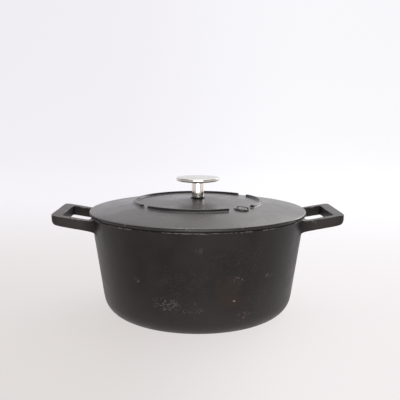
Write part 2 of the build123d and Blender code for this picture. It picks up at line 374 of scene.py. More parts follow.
class Effects:
    """Shader node groups that several finishes share, each made once."""

    def __init__(self) -> None:
        """Build every group."""
        self.grain = self._grain()
        self.edge = self._edge()
        self.patch = self._patch()
        self.scribble = self._scribble()
        self.turned = self._turned()

    @staticmethod
    def _grain() -> bpy.types.NodeTree:
        """Sand-cast skin: fine pebbling with a slow swell, and cloudy mottling.

        Returns:
            The group, giving a height, the mottling and a scatter of specks.
        """
        takes = {
            "Vector": ("Vector", None), "Pebble size": ("Float", 900.0), "Swell": ("Float", 0.5),
        }
        graph, given, result = new_group("Cast grain", takes, ("Height", "Mottle", "Speck"))
        vector = given.outputs["Vector"]
        pebbles = graph.noise(vector, given.outputs["Pebble size"], 3.0)
        swell = graph.math("MULTIPLY", graph.noise(vector, 45.0, 2.0), given.outputs["Swell"])
        height = graph.math("ADD", pebbles, swell)
        mottle = graph.fade(graph.noise(vector, 28.0, 6.0, 0.6), 0.3, 0.7)
        speck = graph.fade(graph.noise(vector, 420.0, 2.0), 0.68, 0.78)
        for label, value in (("Height", height), ("Mottle", mottle), ("Speck", speck)):
            graph.tree.links.new(value, result.inputs[label])
        return graph.tree

    @staticmethod
    def _edge() -> bpy.types.NodeTree:
        """Broken wear along edges that a mask picks out.

        Returns:
            The group, giving the mask of bare metal.
        """
        takes = {"Vector": ("Vector", None), "Edge": ("Float", 0.0), "Amount": ("Float", 0.5)}
        graph, given, result = new_group("Edge wear", takes, ("Mask",))
        chips = graph.noise(given.outputs["Vector"], 260.0, 5.0, 0.4)
        patches = graph.noise(given.outputs["Vector"], 34.0, 3.0)
        broken = graph.math("MULTIPLY", chips, graph.fade(patches, 0.36, 0.64, 0.55, 1.25))
        limit = graph.math("SUBTRACT", 1.0, given.outputs["Amount"])
        strength = graph.math("MULTIPLY", broken, given.outputs["Edge"])
        over = graph.math("SUBTRACT", strength, graph.math("MULTIPLY", limit, 0.8))
        mask = graph.math("MULTIPLY", over, 9.0, clamp=True)
        graph.tree.links.new(mask, result.inputs["Mask"])
        return graph.tree

    @staticmethod
    def _patch() -> bpy.types.NodeTree:
        """Soft-edged stain round a place on the surface.

        Returns:
            The group, giving the stain's mask.
        """
        takes = {
            "Vector": ("Vector", None), "Centre": ("Vector", None),
            "Size": ("Float", 0.02), "Flatness": ("Float", 1.0),
        }
        graph, given, result = new_group("Stain patch", takes, ("Mask",))
        away = graph.node(
            "ShaderNodeVectorMath", {0: given.outputs["Vector"], 1: given.outputs["Centre"]},
            operation="SUBTRACT",
        ).outputs[0]
        parts = graph.node("ShaderNodeSeparateXYZ", {0: away})
        upright = graph.math("MULTIPLY", parts.outputs["Z"], given.outputs["Flatness"])
        spread = graph.node(
            "ShaderNodeCombineXYZ",
            {"X": parts.outputs["X"], "Y": parts.outputs["Y"], "Z": upright},
        ).outputs[0]
        far = graph.node("ShaderNodeVectorMath", {0: spread}, operation="LENGTH").outputs["Value"]
        ratio = graph.math("DIVIDE", far, given.outputs["Size"])
        scale = graph.math("DIVIDE", 2.6, given.outputs["Size"])
        ragged = graph.math("MULTIPLY", graph.noise(given.outputs["Vector"], scale, 4.0), 1.8)
        edge = graph.math("ADD", ratio, graph.math("SUBTRACT", ragged, 0.9))
        graph.tree.links.new(graph.fade(edge, 0.45, 1.0, 1.0, 0.0), result.inputs["Mask"])
        return graph.tree

    @staticmethod
    def _scribble() -> bpy.types.NodeTree:
        """Thin curling scratches, as a rack or another pan leaves on black iron.

        Returns:
            The group, giving the scratches' mask.
        """
        takes = {
            "Vector": ("Vector", None), "Curl": ("Float", 60.0),
            "Width": ("Float", 0.02), "Turn": ("Float", 0.0),
        }
        graph, given, result = new_group("Scribbled scuffs", takes, ("Mask",))
        shifted = graph.node(
            "ShaderNodeVectorRotate",
            {"Vector": given.outputs["Vector"], "Angle": given.outputs["Turn"]},
            rotation_type="Y_AXIS",
        ).outputs[0]
        flat = graph.node(
            "ShaderNodeVectorMath", {0: shifted, 1: (0.8, 0.8, 1.7)}, operation="MULTIPLY"
        ).outputs[0]
        field_value = graph.noise(flat, given.outputs["Curl"], 1.5, 0.8)
        off_line = graph.distance(field_value, 0.5)
        width = given.outputs["Width"]
        line = graph.math("SUBTRACT", 1.0, graph.math("DIVIDE", off_line, width), clamp=True)
        gaps = graph.fade(graph.noise(shifted, 330.0, 2.0), 0.40, 0.56)
        graph.tree.links.new(graph.math("MULTIPLY", line, gaps), result.inputs["Mask"])
        return graph.tree

    @staticmethod
    def _turned() -> bpy.types.NodeTree:
        """Fine marks that turning leaves round the upright axis.

        Returns:
            The group, giving a height and wider streaks.
        """
        takes = {"Vector": ("Vector", None), "Pitch": ("Float", 0.0004)}
        graph, given, result = new_group("Turning marks", takes, ("Height", "Streak"))
        parts = graph.node("ShaderNodeSeparateXYZ", {0: given.outputs["Vector"]})
        across = graph.math("POWER", parts.outputs["X"], 2.0)
        back = graph.math("POWER", parts.outputs["Y"], 2.0)
        radius = graph.math("SQRT", graph.math("ADD", across, back))
        along = graph.math("ADD", radius, parts.outputs["Z"])
        rings = graph.math("DIVIDE", along, given.outputs["Pitch"])
        where = graph.node("ShaderNodeCombineXYZ", {"X": rings}).outputs[0]
        height = graph.noise(where, 1.0, 2.0)
        streak = graph.noise(where, 0.23, 2.0)
        graph.tree.links.new(height, result.inputs["Height"])
        graph.tree.links.new(streak, result.inputs["Streak"])
        return graph.tree


# ---- finishes -----------------------------------------------------------------------
@dataclass(frozen=True)
class Stain:
    """A mark on the iron."""

    centre: tuple[float, float, float]
    size: float
    flatness: float                   # how many times wider it is than high
    strength: float                   # from 0 to 1


@dataclass(frozen=True)
class IronFinish:
    """Black seasoned iron with a satin sheen, pale scuffs and worn edges."""

    name: str
    colour: Colour = (0.0075, 0.0064, 0.0062)
    dusty: Colour = (0.0185, 0.0163, 0.0156)
    mottling: float = 0.7             # share of the dusty colour where the skin is cloudy
    # colour of bare worn metal and of the painted highlights
    bare_and_highlight: Colour = (0.24, 0.22, 0.205)
    roughness: float = 0.38
    rougher: float = 0.09             # added where the skin is cloudy
    ior: float = 1.36
    tint: Colour = (1.0, 0.92, 0.91)  # of the sheen
    edge_amount: float = 0.52
    pebble_size: float = 620.0
    grain_depth: float = 0.00016
    specks: float = 0.05
    painted_sheen: float = 0.7              # painted sheen: paler on faces that look up
    # colour of the painted sheen and of the painted floor reflection
    pale_tone: Colour = (0.115, 0.104, 0.099)
    low_floor_reflection: float = 0.0             # painted reflection of the floor, paler near the base
    low_floor_reflection_top: float = 0.07        # height where the painted reflection ends
    loop_tone: Colour = (0.034, 0.031, 0.0305)
    loop_tone_amount: float = 0.0       # paler out on the loops
    loop_tone_reach: Point = (0.122, 0.130)
    gap_shadow_z: float = 0.1151            # painted shadow line where the lid meets the pot
    gap_shadow_reach: Point = (0.0004, 0.0011)
    gap_shadow_limit: Point = (0.127, 0.130)
    gap_shadow_colour: Colour = (0.0012, 0.0011, 0.0010)
    scuffs: tuple[Stain, ...] = ()
    # worn nicks, and painted highlights where listed
    nicks_and_highlights: tuple[Stain, ...] = ()
    residue: tuple[Stain, ...] = ()
    residue_colour: Colour = (0.034, 0.020, 0.012)

    def material(self, effects: Effects) -> bpy.types.Material:
        """Build the material.

        Args:
            effects: shared node groups.

        Returns:
            The finished material.
        """
        material, graph, place = new_material(self.name)
        grain = graph.group(effects.grain, {"Vector": place, "Pebble size": self.pebble_size})
        mottle = grain.outputs["Mottle"]
        bare_and_highlight = self._bare_and_highlight(graph, effects, place, grain)
        gap_shadow = self._gap_shadow(graph, place)
        colour = self._skin(graph, effects, place, mottle)
        colour = graph.mix(bare_and_highlight, colour, (*self.bare_and_highlight, 1.0))
        # painted shadow in the gap between the lid and the rim
        colour = graph.mix(gap_shadow, colour, (*self.gap_shadow_colour, 1.0))
        rough = graph.fade(mottle, 0.0, 1.0, self.roughness, self.roughness + self.rougher)
        rough = graph.math("ADD", rough, graph.math("MULTIPLY", bare_and_highlight, 0.12))
        rough = graph.math("ADD", rough, graph.math("MULTIPLY", gap_shadow, 0.5), clamp=True)
        bump = graph.bump(grain.outputs["Height"], self.grain_depth, 0.8)
        inputs = {"Base Color": colour, "Roughness": rough, "Normal": bump}
        fixed = {"IOR": self.ior, "Specular Tint": (*self.tint, 1.0)}
        finish_material(graph, inputs, **fixed)
        return material

    def _skin(self, graph: Graph, effects: Effects, place: Any, mottle: Any) -> Any:
        """Colour of the seasoned skin: mottling, painted sheen and floor reflection, paler loops
        and residue.

        Args:
            graph: the material's graph.
            effects: shared node groups.
            place: place on the piece.
            mottle: the skin's cloudiness.

        Returns:
            The colour's socket.
        """
        cloud = graph.math("MULTIPLY", mottle, self.mottling)
        colour = graph.mix(cloud, (*self.colour, 1.0), (*self.dusty, 1.0))
        upward = graph.axis(graph.node("ShaderNodeNewGeometry").outputs["Normal"], "Z")
        # painted sheen on faces that look up, then painted floor reflection near the base
        painted_sheen = graph.math("MULTIPLY", graph.fade(upward, 0.55, 0.97), self.painted_sheen)
        low = graph.fade(graph.axis(place, "Z"), 0.0, self.low_floor_reflection_top, self.low_floor_reflection, 0.0)
        painted_sheen = graph.math("MAXIMUM", painted_sheen, low)
        colour = graph.mix(painted_sheen, colour, (*self.pale_tone, 1.0))
        # paler out on the loops
        out = graph.math("ABSOLUTE", graph.axis(place, "X"))
        on_loops = graph.fade(out, *self.loop_tone_reach, 0.0, self.loop_tone_amount)
        colour = graph.mix(on_loops, colour, (*self.loop_tone, 1.0))
        for stain in self.residue:
            mask = self._masked(graph, effects, place, stain)
            colour = graph.mix(mask, colour, (*self.residue_colour, 1.0))
        return colour

    def _gap_shadow(self, graph: Graph, place: Any) -> Any:
        """Mask of the painted shadow line between the lid and the rim, loops left out.

        Args:
            graph: the material's graph.
            place: place on the piece.

        Returns:
            The mask's socket.
        """
        away = graph.distance(graph.axis(place, "Z"), self.gap_shadow_z)
        gap_shadow = graph.fade(away, *self.gap_shadow_reach, 0.95, 0.0)
        out = graph.math("ABSOLUTE", graph.axis(place, "X"))
        return graph.math("MULTIPLY", gap_shadow, graph.fade(out, *self.gap_shadow_limit, 1.0, 0.0))

    def _bare_and_highlight(self, graph: Graph, effects: Effects, place: Any, grain: Any) -> Any:
        """Mask of paler metal: worn edges, specks, scuffs and nicks, and painted highlights.

        Args:
            graph: the material's graph.
            effects: shared node groups.
            place: place on the piece.
            grain: the placed grain group.

        Returns:
            The mask's socket.
        """
        edge = graph.node("ShaderNodeAttribute", attribute_name=WEAR).outputs["Fac"]
        worn = graph.group(
            effects.edge, {"Vector": place, "Edge": edge, "Amount": self.edge_amount}
        ).outputs["Mask"]
        specks = graph.math("MULTIPLY", grain.outputs["Speck"], self.specks)
        bare_and_highlight = graph.math("MAXIMUM", worn, specks)
        for index, stain in enumerate(self.scuffs):
            curl, turn = 150.0 + 17.0 * index, 0.7 * index   # so that no two scuffs look alike
            lines = graph.group(
                effects.scribble, {"Vector": place, "Curl": curl, "Width": 0.05, "Turn": turn}
            ).outputs["Mask"]
            mask = self._masked(graph, effects, place, stain)
            bare_and_highlight = graph.math("MAXIMUM", bare_and_highlight, graph.math("MULTIPLY", lines, mask))
        # nicks, and the painted highlights on the back bars
        for stain in self.nicks_and_highlights:
            bare_and_highlight = graph.math("MAXIMUM", bare_and_highlight, self._masked(graph, effects, place, stain))
        return bare_and_highlight

    @staticmethod
    def _masked(graph: Graph, effects: Effects, place: Any, stain: Stain) -> Any:
        """Mask of one stain, scaled by its strength.

        Args:
            graph: the material's graph.
            effects: shared node groups.
            place: place on the piece.
            stain: the stain.

        Returns:
            The mask's socket.
        """
        shape = {"Centre": stain.centre, "Size": stain.size, "Flatness": stain.flatness}
        mask = graph.group(effects.patch, {"Vector": place, **shape}).outputs["Mask"]
        return graph.math("MULTIPLY", mask, stain.strength)


@dataclass(frozen=True)
class SteelFinish:
    """Turned stainless steel with fine rings, faint smudges and painted shade at its joints."""

    name: str
    colour: Colour = (0.68, 0.655, 0.615)
    dull: Colour = (0.46, 0.435, 0.39)
    roughness: float = 0.16
    unevenness: float = 0.22
    shade_joints: tuple[float, ...] = ()     # heights of the joints where shade is painted
    shade_reach: float = 0.0016
    shade_colour: Colour = (0.10, 0.09, 0.075)
    pitch: float = 0.0004
    depth: float = 0.00001

    def material(self, effects: Effects) -> bpy.types.Material:
        """Build the material.

        Args:
            effects: shared node groups.

        Returns:
            The finished material.
        """
        material, graph, place = new_material(self.name)
        marks = graph.group(effects.turned, {"Vector": place, "Pitch": self.pitch})
        smudge = graph.fade(graph.noise(place, 70.0, 3.0), 0.35, 0.75)
        streak = graph.fade(marks.outputs["Streak"], 0.3, 0.7)
        tone = graph.math("MULTIPLY", graph.math("ADD", smudge, streak), self.unevenness)
        colour = graph.mix(tone, (*self.colour, 1.0), (*self.dull, 1.0))
        # painted shade beside each joint
        for joint in self.shade_joints:
            away = graph.distance(graph.axis(place, "Z"), joint)
            joint_shade = graph.fade(away, 0.0, self.shade_reach, 0.9, 0.0)
            colour = graph.mix(joint_shade, colour, (*self.shade_colour, 1.0))
        rough = graph.fade(tone, 0.0, 0.8, self.roughness, self.roughness + 0.12)
        bump = graph.bump(marks.outputs["Height"], self.depth, 0.6)
        inputs = {"Base Color": colour, "Roughness": rough, "Normal": bump}
        finish_material(graph, inputs, Metallic=1.0)
        return material


@dataclass(frozen=True)
class WasherFinish:
    """Matt black washer with a slight bloom."""

    name: str = "black washer"
    colour: Colour = (0.010, 0.010, 0.010)
    pale_tone: Colour = (0.028, 0.027, 0.026)

    def material(self, effects: Effects) -> bpy.types.Material:
        """Build the material.

        Args:
            effects: shared node groups.

        Returns:
            The finished material.
        """
        material, graph, place = new_material(self.name)
        grain = graph.group(effects.grain, {"Vector": place, "Pebble size": 1600.0})
        colour = graph.mix(grain.outputs["Mottle"], (*self.colour, 1.0), (*self.pale_tone, 1.0))
        rough = graph.fade(grain.outputs["Mottle"], 0.0, 1.0, 0.55, 0.72)
        bump = graph.bump(grain.outputs["Height"], 0.00003)
        finish_material(graph, {"Base Color": colour, "Roughness": rough, "Normal": bump})
        return material


def new_material(name: str) -> tuple[bpy.types.Material, Graph, Any]:
    """Start a material.

    Args:
        name: name of the material.

    Returns:
        The material, its graph and the socket of the place on the piece.
    """
    material = bpy.data.materials.new(name)
    material.use_nodes = True
    material.node_tree.nodes.clear()
    graph = Graph(material.node_tree)
    return material, graph, graph.node("ShaderNodeTexCoord").outputs["Object"]


def finish_material(graph: Graph, inputs: dict[str, Any], **constants: Any) -> None:
    """Close a material with its shader.

    Args:
        graph: the material's graph.
        inputs: shader inputs that change over the surface.
        constants: shader inputs that don't.
    """
    shader = graph.node("ShaderNodeBsdfPrincipled", {**inputs, **constants})
    graph.node("ShaderNodeOutputMaterial", {"Surface": shader.outputs["BSDF"]})


# ---- sub-assemblies -----------------------------------------------------------------
@dataclass(frozen=True)
class LoopHandle:
    """Rectangular loop cast with the pot: two side bars and the bar that the hand holds."""

    reach: float = 0.1626
    top_z: float = 0.1189
    width: float = 0.087
    height: float = 0.0117
    side_bar: float = 0.0086
    end_bar: float = 0.011
    rise: float = math.radians(9.2)
    low_round: float = 0.0075
    edge_room: float = 0.0014         # from an edge to the loop of verts beside it
    corner_room: float = 0.011        # the same at the outer corners, seen from above
    window_room: float = 0.0053       # the same at the finger gap's corners
    mid_from: float = 0.127           # X of the wall end that the bars' middles are taken from
    mid_skew: float = 0.004           # how far the middle ring leans outwards
    low_shares: tuple[float, ...] = (0.0, 0.15, 0.55, 0.9, 1.0)   # growth of the low rounding
    root_round: float = 0.0042
    root_spread: tuple[float, float, float] = (0.0042, 0.0052, 0.0026)   # sides, below, above

    def section(self, i: int, j: int, low_round: float) -> Point:
        """Place of a ring's vert on the bar's section.

        Args:
            i: ring place across the bar.
            j: ring place up the bar.
            low_round: rounding of the low outer edge there.

        Returns:
            The place across the bar and up it, as shares of its size.
        """
        across, up = (self.side_bar + self.end_bar) / 2, self.height
        room_u, room_v = self.edge_room / across, self.edge_room / up
        steps_u = (0.0, room_u, 0.38, 0.62, 1 - room_u, 1.0)
        steps_v = (0.0, room_v, 0.38, 0.62, 1 - room_v, 1.0)
        place = rounded(steps_u[i], steps_v[j], across, up, (0.0, low_round, 0.0, 0.0))
        return place[0] / across, place[1] / up

    def on_bar(self, inner: Point, outer: Point, share: Point) -> Vector:
        """Point of the loop at one station.

        Args:
            inner: the station's X and Y on the finger gap.
            outer: its X and Y on the outside.
            share: place on the section, as shares of its size.

        Returns:
            The point.
        """
        x = inner[0] + (outer[0] - inner[0]) * share[0]
        y = inner[1] + (outer[1] - inner[1]) * share[0]
        top = self.top_z - (self.reach - x) * math.tan(self.rise)
        return Vector((x, y, top - self.height * (1 - share[1])))

    def stations(self) -> list[tuple[Point, Point, float]]:
        """Lay out the stations along half of the loop.

        Returns:
            The inner point, the outer point and the low rounding of each.
        """
        outer_y = self.width / 2
        inner_y = outer_y - self.side_bar
        inner_x = self.reach - self.end_bar
        near = (inner_x - self.window_room, self.reach - self.corner_room)
        mid = (near[0] + self.mid_from) / 2
        places = (
            ((mid, inner_y), (mid + self.mid_skew, outer_y)),
            ((near[0], inner_y), (near[1], outer_y)),
            ((inner_x, inner_y), (self.reach, outer_y)),
            ((inner_x, inner_y - self.window_room), (self.reach, outer_y - self.corner_room)),
            ((inner_x, inner_y * 0.45), (self.reach, inner_y * 0.55)),
        )
        rounds = [share * self.low_round for share in self.low_shares]
        return [(inner, outer, low) for (inner, outer), low in zip(places, rounds)]

    def root(
        self, i: int, j: int, spread: float, off_wall: float, wall: Callable[[float], float],
    ) -> Vector:
        """Point beside the wall, on the bar's outline or spread out from it.

        Args:
            i: ring place across the bar.
            j: ring place up the bar.
            spread: how far the outline is spread, from 0 to 1.
            off_wall: distance from the wall along the bar.
            wall: wall radius by height.

        Returns:
            The point.
        """
        share = self.section(i, j, 0.0)
        outer_y = self.width / 2
        sides, below, above = (spread * part for part in self.root_spread)
        y = outer_y - self.side_bar - sides + (self.side_bar + 2 * sides) * share[0]
        x = math.sqrt(wall(self.top_z) ** 2 - y * y)
        top = self.top_z - (self.reach - x) * math.tan(self.rise) + above
        z = top - (self.height + above + below) * (1 - share[1])
        return Vector((math.sqrt(wall(z) ** 2 - y * y) + off_wall, y, z))

    def rings(
        self, key: Sequence[tuple[int, int]], wall: Callable[[float], float],
    ) -> list[list[Vector]]:
        """Lay out rings along half of the loop, from the wall to its middle.

        Args:
            key: ring place of each vert, across the bar and up it.
            wall: wall radius by height.

        Returns:
            The places of each ring's verts.
        """
        fillet = self.root_round
        rows = [
            [self.root(i, j, 1.0, 0.0, wall) for i, j in key],
            [self.root(i, j, 0.32, 0.29 * fillet, wall) for i, j in key],
            [self.root(i, j, 0.0, fillet, wall) for i, j in key],
        ]
        for inner, outer, low in self.stations():
            rows.append([self.on_bar(inner, outer, self.section(i, j, low)) for i, j in key])
        return rows


@dataclass
class Pot:
    """The pot casting: tapered wall, rounded base, rim and both loop handles."""

    rim_z: float = 0.1154
    rim_radius: float = 0.1235
    base_radius: float = 0.107
    wall: float = 0.004
    floor: float = 0.0048
    base_corner: float = 0.023
    inner_corner: float = 0.018
    rim_round: float = 0.0013
    foot_recess: Point = (0.072, 0.0007)
    recess_rows: tuple[float, ...] = (0.0, 0.03, 0.06)
    wall_rows: tuple[float, ...] = (0.030, 0.044, 0.058, 0.072)
    inner_rows: tuple[float, ...] = (0.110, 0.100, 0.085, 0.068, 0.050, 0.035)
    floor_rows: tuple[float, ...] = (0.07, 0.04, 0.015, 0.0)
    grid_rows: tuple[float, ...] = (0.0885, 0.0935, 0.0985, 0.1035, 0.1085, 0.1133)
    grid_start: int = 3               # first of the five face columns that a bar's root takes
    handle: LoopHandle = LoopHandle()

    def wall_radius(self, z: float) -> float:
        """Outside radius of the tapered wall at a height."""
        return self.base_radius + z * (self.rim_radius - self.base_radius) / self.rim_z

    def outline(self) -> list[Point]:
        """Draw the outline, from the underside's middle over the rim to the floor's middle.

        Returns:
            Its points as radius and height.
        """
        taper = math.atan2(self.rim_radius - self.base_radius, self.rim_z)
        lean = math.degrees(taper)
        recess_radius, recess = self.foot_recess
        slant = self.wall / math.cos(taper)
        base_x = self.base_radius - self.base_corner * math.tan(math.pi / 4 - taper / 2)
        floor_radius = self.wall_radius(self.floor) - slant
        inner_x = floor_radius - self.inner_corner * math.tan(math.pi / 4 - taper / 2)
        points = [(r, recess) for r in (*self.recess_rows, recess_radius - 0.0008)]
        points += [(recess_radius, recess * 0.6), (recess_radius + 0.0003, 0.0)]
        points += [(recess_radius + 0.002, 0.0), (base_x - 0.004, 0.0)]
        points += arc((base_x, self.base_corner), self.base_corner, -90, -lean, 7)
        points += [(self.wall_radius(z), z) for z in (*self.wall_rows, *self.grid_rows)]
        shoulder = self.rim_z - self.rim_round
        rim = self.rim_radius - self.rim_round
        points += arc((rim, shoulder), self.rim_round, 0, 90, 3)
        inner_rim = self.rim_radius - slant + self.rim_round
        points += arc((inner_rim, shoulder), self.rim_round, 90, 180, 3)
        points += [(self.wall_radius(z) - slant, z) for z in self.inner_rows]
        centre = (inner_x, self.floor + self.inner_corner)
        points += arc(centre, self.inner_corner, -lean, -90, 6)
        return points + [(r, self.floor) for r in self.floor_rows]

    def build(self, iron: bpy.types.Material) -> None:
        """Model the casting and put it on the pot's body.

        Args:
            iron: its finish.
        """
        bm = lathe(hold_size(self.outline(), SEGMENTS), SEGMENTS)
        mark_wear(bm, lambda co: co.z > self.rim_z - 1.1 * self.rim_round, 0.9)
        for side in (1, -1):
            self.add_loop(bm, side)
        bmesh.ops.remove_doubles(bm, verts=bm.verts, dist=WELD)
        as_piece("pot_casting", bm, iron, Body.POT, ["pot"])

    def grid_place(self, co: Vector, side: int) -> tuple[int, int]:
        """Find a wall vert in the grid that a bar's root takes.

        Args:
            co: place of the vert.
            side: 1 for the loop on +X, -1 for the other.

        Returns:
            Its column and row.
        """
        turn = abs(math.atan2(co.y, side * co.x))
        column = round(turn / SEGMENT) - self.grid_start
        row = min(range(len(self.grid_rows)), key=lambda k: abs(self.grid_rows[k] - co.z))
        return column, row

    def root_patch(self, bm: BMesh, side: int, flank: int) -> list[BMFace]:
        """Choose the wall faces that one bar's root takes.

        Args:
            bm: mesh of the casting.
            side: 1 for the loop on +X, -1 for the other.
            flank: 1 for the bar on +Y, -1 for the other.

        Returns:
            The faces.
        """
        columns = len(self.grid_rows) - 1
        first, last = self.grid_start * SEGMENT, (self.grid_start + columns) * SEGMENT
        chosen = []
        for face in bm.faces:
            co = face.calc_center_median()
            turn = math.atan2(flank * co.y, side * co.x)
            outside = math.hypot(co.x, co.y) > self.wall_radius(co.z) - self.wall / 2
            if outside and first < turn < last and self.grid_rows[0] < co.z < self.grid_rows[-1]:
                chosen.append(face)
        return chosen

    def add_loop(self, bm: BMesh, side: int) -> None:
        """Grow one loop out of the wall and join it back into the wall.

        Args:
            bm: mesh of the casting.
            side: 1 for the loop on +X, -1 for the other.
        """
        start = open_patch(bm, self.root_patch(bm, side, 1))
        open_patch(bm, self.root_patch(bm, side, -1))
        key = [self.grid_place(vert.co, side) for vert in start]
        ends = {0, len(self.grid_rows) - 1}
        worn = [i in ends and j in ends for i, j in key]
        half = self.handle.rings(key, self.wall_radius)
        stations = [[Vector((side * p.x, p.y, p.z)) for p in ring] for ring in half]
        stations.append([Vector((p.x, 0.0, p.z)) for p in stations[-1]])
        flip = Vector((1, -1, 1))
        stations += [[p * flip for p in ring] for ring in reversed(stations[:-1])]
        stations.append([vert.co * flip for vert in start])
        layer = bm.verts.layers.float[WEAR]
        ring = start
        for number, places in enumerate(stations):
            ring = grow_ring(bm, ring, places)
            on_wall = number < 2 or number > len(stations) - 4
            for vert, exposed in zip(ring, worn):
                vert[layer] = 1.0 if exposed and not on_wall else 0.0


@dataclass(frozen=True)
class RingPattern:
    """Low raised ring on the lid, broken by gaps."""

    inner: float = 0.0710
    middle: float = 0.0729
    outer: float = 0.0748
    height: float = 0.0030
    room: float = 0.0030              # from the ring to the row of verts inside it
    outer_room: float = 0.0042        # and to the row outside it
    soft: float = 0.0007              # bevel of its top edges
    wear: float = 0.45
    arcs: tuple[tuple[int, int], ...] = ((12, 57), (59, 79), (86, 105))   # in face columns

    def columns(self) -> set[int]:
        """Face columns that the ring covers."""
        return {c % SEGMENTS for first, last in self.arcs for c in range(first, last)}


@dataclass
class Lid:
    """The lid casting: dome, raised broken ring, button, and the bumps underneath."""

    radius: float = 0.125
    low_z: float = 0.1154
    edge: float = 0.0039
    edge_round: float = 0.0014
    dome_middle: Point = (0.075, 0.127)
    boss: Point = (0.009, 0.1316)
    wall: float = 0.004
    top_rows: tuple[float, ...] = (0.010, 0.022, 0.040)
    outer_rows: tuple[float, ...] = (0.098, 0.112, 0.1215)
    pad: Point = (0.010, 0.1264)
    locating: Point = (0.113, 0.118)
    locating_depth: float = 0.0044
    hole: float = 0.0033
    ring: RingPattern = RingPattern()
    button_columns: tuple[int, int] = (80, 85)
    button_rows: Point = (0.0620, 0.0850)
    button_radius: float = 0.0086
    button_height: float = 0.0016
    button_wear: float = 0.7
    bump_rows: tuple[tuple[float, int, int], ...] = ((0.030, 6, 6), (0.056, 12, 4), (0.084, 24, 2))
    bump_radius: float = 0.0034
    bump_drop: float = 0.002
    bump_room: float = 0.0055         # from a circle of bumps to the verts either side

    def dome(self, radius: float, offset: float = 0.0) -> float:
        """Work out the spherical dome, or a surface offset from it.

        Args:
            radius: distance from the middle.
            offset: distance above the dome, square to it.

        Returns:
            The height.
        """
        edge_z = self.low_z + self.edge
        mid_r, mid_z = self.dome_middle
        centre = (self.radius**2 + edge_z**2 - mid_r**2 - mid_z**2) / (2 * (edge_z - mid_z))
        ball = math.hypot(self.radius, edge_z - centre)
        return centre + math.sqrt((ball + offset) ** 2 - radius**2)

    def lean(self, radius: float) -> float:
        """Slope of the dome at a radius, as an angle."""
        return math.atan2(self.dome(radius - 0.001) - self.dome(radius + 0.001), 0.002)

    def outline(self) -> list[Point]:
        """Draw the closed outline, over the top from the screw hole and back underneath.

        Returns:
            Its points as radius and height.
        """
        boss_r, boss_z = self.boss
        pad_r, pad_z = self.pad
        points = [(self.hole, boss_z), (boss_r - 0.001, boss_z), (boss_r, boss_z)]
        points += [(boss_r + 0.0001, self.dome(boss_r) + 0.0001)]
        ring = self.ring
        rows = [*self.top_rows, self.button_rows[0], ring.inner - ring.room]
        rows += [ring.inner, ring.middle, ring.outer, ring.outer + ring.outer_room]
        rows += [self.button_rows[1], *self.outer_rows]
        points += [(r, self.dome(r)) for r in rows]
        round_r = self.edge_round
        slope = math.degrees(self.lean(self.radius))
        centre = (self.radius - round_r, self.dome(self.radius) - round_r)
        points += arc(centre, round_r, 90 - slope, 0, 3)
        points += [(self.radius, self.low_z + 0.0006), (self.radius - 0.0001, self.low_z)]
        points += [(self.radius - 0.0008, self.low_z)]
        inner, outer = self.locating
        foot = self.low_z - self.locating_depth
        points += [(outer + 0.0006, self.low_z), (outer, self.low_z - 0.0004)]
        points += arc((outer - round_r, foot + round_r), round_r, 0, -90, 2)
        points += [(inner + 0.0012, foot), (inner, foot + 0.0012)]
        points += [(inner - 0.0002, self.dome(inner, -self.wall) - 0.0006)]
        points += [(inner - 0.0014, self.dome(inner - 0.0014, -self.wall))]
        for row in reversed((0.020, *self.under_rows(), 0.101)):
            points.append((row, self.dome(row, -self.wall)))
        points += [(pad_r + 0.0006, self.dome(pad_r, -self.wall)), (pad_r, pad_z + 0.0004)]
        points += [(pad_r - 0.0008, pad_z), (self.hole, pad_z)]
        return points

    def under_rows(self) -> list[float]:
        """Radii of the verts either side of each circle of bumps."""
        return [r + way * self.bump_room for r, _, _ in self.bump_rows for way in (-1, 1)]

    def build(self, iron: bpy.types.Material) -> None:
        """Model the casting and put it on the lid's body.

        Args:
            iron: its finish.
        """
        bm = lathe(hold_size(self.outline(), SEGMENTS), SEGMENTS, closed=True)
        edge_low = self.low_z + self.edge - 1.2 * self.edge_round
        mark_wear(
            bm,
            lambda co: math.hypot(co.x, co.y) > self.radius - self.edge_round and co.z > edge_low,
            0.8,
        )
        self.add_bumps(bm)
        self.add_button(bm)
        self.add_ring(bm)
        as_piece("lid_casting", bm, iron, Body.LID, ["lid"])

    def patch(self, bm: BMesh, span: Point, columns: set[int], upper: bool) -> list[BMFace]:
        """Choose faces of the top or the underside.

        Args:
            bm: mesh of the casting.
            span: inner and outer radius of the patch.
            columns: face columns that it covers.
            upper: True for the top, False for the underside.

        Returns:
            The faces.
        """
        chosen = []
        for face in bm.faces:
            co = face.calc_center_median()
            radius = math.hypot(co.x, co.y)
            above = co.z > self.dome(min(radius, self.radius), -self.wall / 2)
            column = int(azimuth(face) / SEGMENT)
            if above == upper and span[0] < radius < span[1] and column in columns:
                chosen.append(face)
        return chosen

    def add_bumps(self, bm: BMesh) -> None:
        """Stamp the round basting bumps into the underside.

        Args:
            bm: mesh of the casting.
        """
        for radius, count, width in self.bump_rows:
            for index in range(count):
                middle = SEGMENTS // count * index
                columns = {(middle + k) % SEGMENTS for k in range(-width // 2, width // 2)}
                span = (radius - self.bump_room, radius + self.bump_room)
                seat = self.seat(radius, middle * SEGMENT, under=True)
                drop = self.bump_drop
                rings = [
                    (self.bump_radius * 1.15, 0.0),
                    (self.bump_radius * 0.9, 0.3 * drop),
                    (self.bump_radius * 0.5, 0.9 * drop),
                ]
                stamp(bm, self.patch(bm, span, columns, upper=False), seat, rings)

